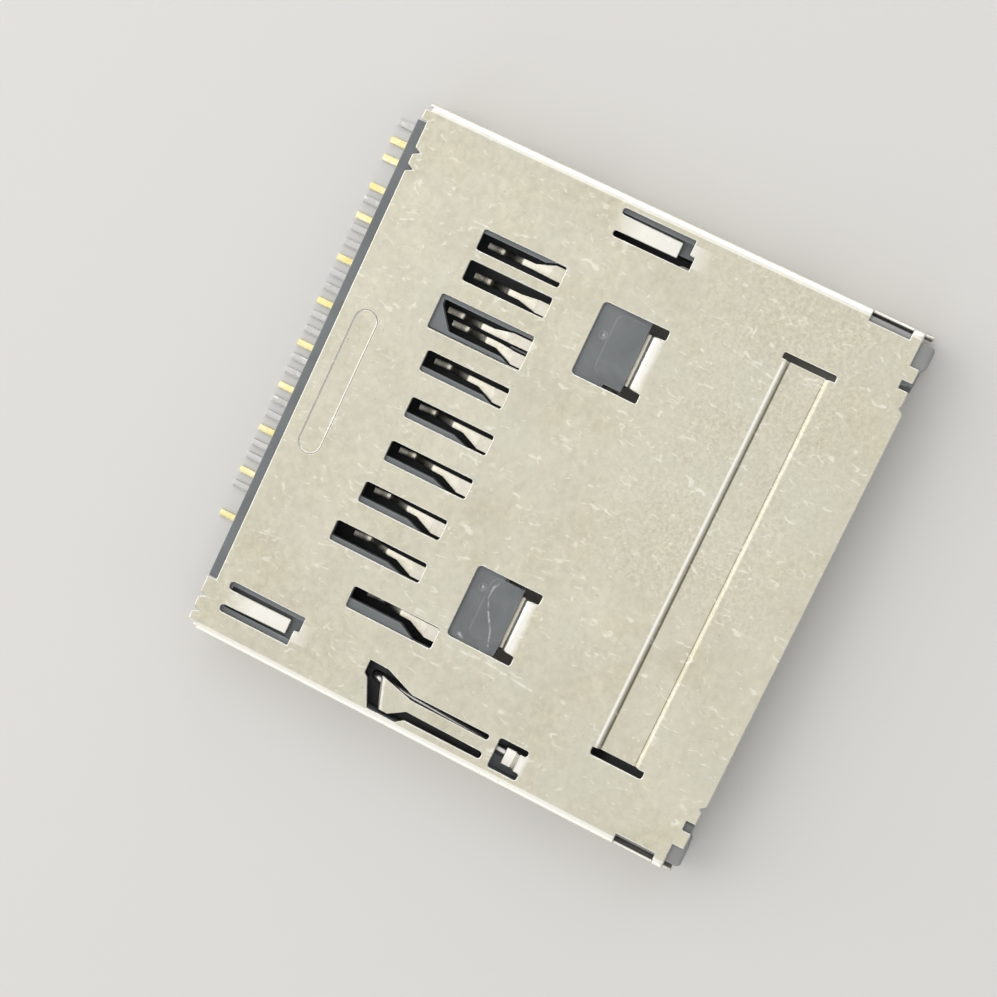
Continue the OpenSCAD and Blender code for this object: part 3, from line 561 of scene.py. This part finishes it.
# The edge finish is bare metal, painted lighter as a highlight on the rounds.
cover_edge = plated("sheared_and_highlit_nickel", (0.62, 0.60, 0.52, 1), (0.80, 0.78, 0.70, 1),
                    mark=(0.96, 0.95, 0.92, 1), roughness=0.25,
                    cloud_scale=1.5, mottle_scale=6.0, mark_amount=0.2, worn_and_highlit=FOLDS)
print("cover:", cover_face.name, cover_edge.name)

# %% [markdown]
# The contacts
# A contact is stamped from spring alloy. The first row and the two switch springs have gold-plated leads.
# The second row and the common terminal are tinned all over. A contact could be cut in two with a finish
# each, but one finish with a change of colour at the lead keeps it one piece, as it really is.

# %% Finishes of the contacts
GOLD = ((0.60, 0.52, 0.20, 1), (0.82, 0.75, 0.36, 1))
GOLD_EDGE = ((0.72, 0.64, 0.28, 1), (0.88, 0.81, 0.44, 1))
# Below this height the beams get painted shade.
BEAMS_SHADED_FROM_Z = 2.4

beam = plated("contact_alloy", (0.58, 0.54, 0.43, 1), (0.84, 0.80, 0.68, 1),
              mark=(0.96, 0.94, 0.86, 1), roughness=0.26,
              cloud_scale=0.8, mottle_scale=4.0, mark_amount=0.3, lead=GOLD, shaded_from_z=BEAMS_SHADED_FROM_Z)
# Edge finishes are lighter: a painted highlight on the rounded edges.
beam_edge = plated("contact_alloy_edge", (0.8, 0.77, 0.68, 1), (0.95, 0.93, 0.86, 1),
                   mark=(0.96, 0.95, 0.9, 1), roughness=0.22,
                   cloud_scale=1.5, mottle_scale=6.0, lead=GOLD_EDGE, shaded_from_z=BEAMS_SHADED_FROM_Z)
silver = plated("bright_tin", (0.36, 0.355, 0.335, 1), (0.55, 0.54, 0.51, 1),
                mark=(0.9, 0.9, 0.88, 1), roughness=0.27, cloud_scale=0.8, mottle_scale=4.0, mark_amount=0.3)
# Lighter edge finish: a painted highlight on the rounded edges.
silver_edge = plated("bright_tin_edge", (0.5, 0.5, 0.48, 1), (0.7, 0.7, 0.67, 1),
                     mark=(0.95, 0.95, 0.93, 1), roughness=0.22, cloud_scale=1.5)
wire = plated("drawn_wire", (0.66, 0.65, 0.61, 1), (0.9, 0.89, 0.85, 1),
              mark=(0.95, 0.94, 0.9, 1), roughness=0.3, cloud_scale=0.8, mottle_scale=5.0, mark_amount=0.4)
print("contacts and wire:", [material.name for material in (beam, beam_edge, silver, silver_edge, wire)])

# %% [markdown]
# The moulding
# The housing is a glass-filled thermoplastic: dark blue-grey with a dull skin, fine grain and slow flow
# marks. Its edges and front corners are painted paler: partly rubbed by tooling and handling, partly a
# painted highlight on their rounds. Little light reaches the deep pockets, so painted shade darkens them.
# Scratches and places are given as on the lid.


# %% A moulded finish
POCKET_TOP, POCKET_SHADED = 2.5, 2.2
POCKET_FLOOR, POCKET_BASE = 0.3, 0.2
RUB_COLOUR = (0.2, 0.21, 0.23, 1)
SCRAPE_AND_GLINT_PLASTIC = (0.55, 0.57, 0.58, 1)
WORN_AND_HIGHLIT_PLASTIC = (0.31, 0.31, 0.305, 1)


def moulded(name, dark, light, roughness, pale_lines=(), pockets=None, wear_and_highlight=()):
    material, tree, shader = finish(name)
    skin = use_group(tree, grain)
    lines = use_group(tree, marks, Scale=0.6, Amount=0.45)["Mask"]
    colour = mix_colour(tree, skin["Flow"], dark, light)
    if pockets:
        height = axis_mm(tree, "Z")
        below_top = remap(tree, height, POCKET_TOP, POCKET_SHADED)
        above_base = remap(tree, height, POCKET_BASE, POCKET_FLOOR)
        inside = multiply(tree, patch_mask(tree, pockets), multiply(tree, below_top, above_base))
        colour = mix_colour(tree, multiply(tree, inside, 0.85), colour, darker(dark, 0.15))
    # Painted highlight on the front corners, with some rubbing.
    for place in wear_and_highlight:
        colour = mix_colour(tree, multiply(tree, patch_mask(tree, place), 0.8), colour, WORN_AND_HIGHLIT_PLASTIC)
    colour = mix_colour(tree, multiply(tree, lines, 0.6), colour, RUB_COLOUR)
    # Pale lines: real scratches, and painted glints on the gate marks.
    for start, end, width in pale_lines:
        single = use_group(tree, scratch, Start=start, End=end, Width=width)["Mask"]
        colour = mix_colour(tree, single, colour, SCRAPE_AND_GLINT_PLASTIC)
    tree.links.new(colour, shader.inputs["Base Color"])
    tree.links.new(scaled_plus(tree, skin["Grain"], 0.16, roughness), shader.inputs["Roughness"])
    bump = add(tree, "ShaderNodeBump", {"Height": skin["Grain"], "Strength": 0.3, "Distance": BUMP_MM * MM})
    tree.links.new(bump.outputs["Normal"], shader.inputs["Normal"])
    return material


print("moulded finish is ready")

# %% [markdown]
# Housing and slider
# The housing's top plate has one curved scratch in the window towards -X, and in both square windows
# pale lines paint the glint on the gate marks. The slider inside is black and plainer, because nothing has
# marked it.

# %% Finishes of the housing and the slider
CURVE = [(-5.4, -0.72), (-5.95, -0.42), (-6.5, -0.4), (-7.2, -0.7), (-8.0, -1.2), (-8.86, -1.46)]
CURVED_SCRATCH = [(start + (0,), end + (0,), 0.13) for start, end in zip(CURVE, CURVE[1:])]
# Pale lines that paint the glint on the gate dimples.
GATE_GLINTS = [((8.3, 0.12, 0), (8.1, 0.02, 0), 0.3), ((-6.12, 0.16, 0), (-6.3, 0.1, 0), 0.26),
              ((-8.9, 0.2, 0), (-9.0, 0.0, 0), 0.2)]
DEEP_POCKETS = ((0, 1.0, 0), (13.9, 10.6, 0), 0.0, 0.6)
# The front corners get a painted highlight.
FRONT_CORNERS = [((x, -13.4, 0), (0.95, 1.9, 0), 0.0, 0.3) for x in (14.1, -14.1)]

plastic = moulded("grey_moulding", (0.14, 0.151, 0.158, 1), (0.182, 0.196, 0.203, 1), 0.36,
                  pale_lines=CURVED_SCRATCH + GATE_GLINTS, pockets=DEEP_POCKETS, wear_and_highlight=FRONT_CORNERS)
# The edge finishes of the mouldings are lighter: a painted highlight on the rounds.
plastic_edge = moulded("grey_moulding_edge", (0.2, 0.21, 0.22, 1), (0.27, 0.28, 0.29, 1), 0.4,
                       pockets=DEEP_POCKETS, wear_and_highlight=FRONT_CORNERS)
black = moulded("black_moulding", (0.02, 0.02, 0.022, 1), (0.035, 0.035, 0.038, 1), 0.42)
black_edge = moulded("black_moulding_edge", (0.05, 0.05, 0.055, 1), (0.08, 0.08, 0.085, 1), 0.4)
print("mouldings:", [material.name for material in (plastic, plastic_edge, black, black_edge)])

# %% [markdown]
# Edges
# Sheared sheet and moulded corners are never knife sharp, and it is their tiny rounds that catch the light.
# The solids come as loose triangles, so a Weld joins them, a planar Decimate makes whole faces and a Bevel
# rounds the edges and hands the new strips to the second material slot. On the housing and
# the slider the Decimate is left out, because a face with openings or a groove in it can come out torn.


# %% Rounded edges
WELD_MM = 0.0002
FLAT_ANGLE = 0.01
EDGE_ANGLE = 0.6


def dress(name, face, edge, width_mm, whole_faces=True):
    piece = nodes[name]
    piece.data.materials.clear()
    piece.data.materials.append(face)
    piece.data.materials.append(edge)
    weld = piece.modifiers.new("join", "WELD")
    weld.merge_threshold = WELD_MM * MM
    if whole_faces:
        whole = piece.modifiers.new("whole_faces", "DECIMATE")
        whole.decimate_type = "DISSOLVE"
        whole.angle_limit = FLAT_ANGLE
    rounding = piece.modifiers.new("edge_round", "BEVEL")
    rounding.width = width_mm * MM
    rounding.segments = 2
    rounding.limit_method = "ANGLE"
    rounding.angle_limit = EDGE_ANGLE
    rounding.use_clamp_overlap = False
    # The rounds take the lighter edge finish, which paints their highlight.
    rounding.material = 1
    rounding.loop_slide = False
    normals = piece.modifiers.new("even_shading", "WEIGHTED_NORMAL")
    normals.keep_sharp = False


print("edges are rounded past", EDGE_ANGLE, "radians")

# %% [markdown]
# Each piece gets its finish
# The folded sheet has the widest rounds, the moulding and the slider about half of that, and the thin
# contacts the least. The cam pin is round wire, so it has no edges to round and keeps one finish.

# %% Dress every node
FIRST_ROW = ["contact_%d" % number for number in (8, 7, 6, 5, 4, 3, 2, 1, 9)]
SECOND_ROW = ["row2_contact_%d" % number for number in range(1, 9)]
SHEET_ROUND, MOULDED_ROUND, CONTACT_ROUND = 0.07, 0.04, 0.02

dress("cover", cover_face, cover_edge, SHEET_ROUND)
dress("housing", plastic, plastic_edge, MOULDED_ROUND, whole_faces=False)
for name in FIRST_ROW + ["write_protect_spring", "card_detect_spring"]:
    dress(name, beam, beam_edge, CONTACT_ROUND)
for name in SECOND_ROW + ["switch_common"]:
    dress(name, silver, silver_edge, CONTACT_ROUND)
dress("slider", black, black_edge, MOULDED_ROUND, whole_faces=False)
nodes["cam_pin"].data.materials.clear()
nodes["cam_pin"].data.materials.append(wire)
print("dressed nodes:", len(nodes))

# %% [markdown]
# The shape of the eject spring
# A compression spring is one wire wound on a helix, with a closed turn at each end so that it stands square.
# A Screw modifier could wind it too, but Geometry Nodes moves the points of a spiral to that rise and sweeps
# a small circle along it, so the turns, the wire and the length stay numbers that anyone can change.


# %% Coil spring by Geometry Nodes
POINTS_PER_TURN = 40
WIRE_SIDES = 12


def coil_rise(tree, given):
    turn = multiply(tree, add(tree, "GeometryNodeSplineParameter").outputs["Factor"], given["Turns"])
    last = math(tree, "SUBTRACT", given["Turns"], 1.0)
    last_closed = math(tree, "MAXIMUM", math(tree, "SUBTRACT", turn, last), 0.0)
    closed = math(tree, "ADD", math(tree, "MINIMUM", turn, 1.0), last_closed)
    free_length = math(tree, "SUBTRACT", given["Length"], multiply(tree, given["Wire"], 2.0))
    free_rise = multiply(tree, remap(tree, turn, 1.0, last), free_length)
    return math(tree, "ADD", multiply(tree, closed, given["Wire"]), free_rise)


def coil_group():
    tree = bpy.data.node_groups.new("Coil spring", "GeometryNodeTree")
    sizes = (("Turns", FLOAT, 9.0), ("Wire", FLOAT, 0.22 * MM), ("Radius", FLOAT, 0.74 * MM),
             ("Length", FLOAT, 7.5 * MM), ("Centre", VECTOR, (0, 0, 0)))
    for socket, kind, value in sizes:
        tree.interface.new_socket(socket, in_out="INPUT", socket_type=kind).default_value = value
    tree.interface.new_socket("Material", in_out="INPUT", socket_type="NodeSocketMaterial")
    tree.interface.new_socket("Geometry", in_out="OUTPUT", socket_type="NodeSocketGeometry")
    given = tree.nodes.new("NodeGroupInput").outputs
    spiral = add(tree, "GeometryNodeCurveSpiral",
                 {"Resolution": POINTS_PER_TURN, "Rotations": given["Turns"], "Height": 0.0,
                  "Start Radius": given["Radius"], "End Radius": given["Radius"]}).outputs[0]
    lift = add(tree, "ShaderNodeCombineXYZ", {"Z": coil_rise(tree, given)}).outputs[0]
    helix = add(tree, "GeometryNodeSetPosition", {"Geometry": spiral, "Offset": lift}).outputs[0]
    wire_radius = multiply(tree, given["Wire"], 0.5)
    ring = add(tree, "GeometryNodeCurvePrimitiveCircle",
               {"Resolution": WIRE_SIDES, "Radius": wire_radius}).outputs[0]
    swept = add(tree, "GeometryNodeCurveToMesh",
                {"Curve": helix, "Profile Curve": ring, "Fill Caps": True}).outputs[0]
    place = {"Geometry": swept, "Translation": given["Centre"], "Rotation": (QUARTER_TURN, 0, 0)}
    laid = add(tree, "GeometryNodeTransform", place).outputs[0]
    smooth = add(tree, "GeometryNodeSetShadeSmooth", {0: laid}).outputs[0]
    real = add(tree, "GeometryNodeRealizeInstances", {0: smooth}).outputs[0]
    coat = {"Geometry": real, "Material": given["Material"]}
    painted = add(tree, "GeometryNodeSetMaterial", coat).outputs[0]
    tree.links.new(painted, tree.nodes.new("NodeGroupOutput").inputs["Geometry"])
    return tree


spring_tree = coil_group()
print("coil nodes:", len(spring_tree.nodes))

# %% [markdown]
# From nodes to a plain mesh
# A modifier shows the coil while we work on it. Then the result is baked: the evaluated object gives a
# plain mesh and the modifier goes. The inputs are set by each socket's identifier, because names may
# repeat.


# %% Grow and bake the coil
def grown(name, tree, **values):
    piece = bpy.data.objects.new(name, bpy.data.meshes.new(name + "_seed"))
    scene.collection.objects.link(piece)
    maker = piece.modifiers.new("maker", "NODES")
    maker.node_group = tree
    for item in tree.interface.items_tree:
        if item.in_out == "INPUT" and item.name in values:
            maker[item.identifier] = values[item.name]
    bpy.context.view_layer.update()
    posed = piece.evaluated_get(bpy.context.evaluated_depsgraph_get())
    baked = bpy.data.meshes.new_from_object(posed)
    piece.modifiers.clear()
    piece.data = baked
    return piece


SPRING_WIRE = 0.22 * MM
SPRING_TURNS = 9.0
low, high = (Vector(corner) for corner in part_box("eject_spring"))
coil = grown("eject_spring_coil", spring_tree, Turns=SPRING_TURNS, Wire=SPRING_WIRE, Material=wire,
             Radius=(high.x - low.x - SPRING_WIRE) / 2, Length=high.y - low.y - SPRING_WIRE,
             Centre=((low.x + high.x) / 2, high.y - SPRING_WIRE / 2, (low.z + high.z) / 2))
print("coil:", len(coil.data.vertices), "points,", round((high.y - low.y) / MM, 2), "mm long")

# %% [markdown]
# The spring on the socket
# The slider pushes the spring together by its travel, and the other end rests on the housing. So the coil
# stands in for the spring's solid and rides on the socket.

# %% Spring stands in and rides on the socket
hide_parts("eject_spring")
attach(coil, "socket")
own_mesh(coil)

# %% [markdown]
# Size
# The box of the dressed socket is printed in millimetres.

# %% Size note
low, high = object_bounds()
print("dressed size in mm:", [round((b - a) / MM, 2) for a, b in zip(low, high)])
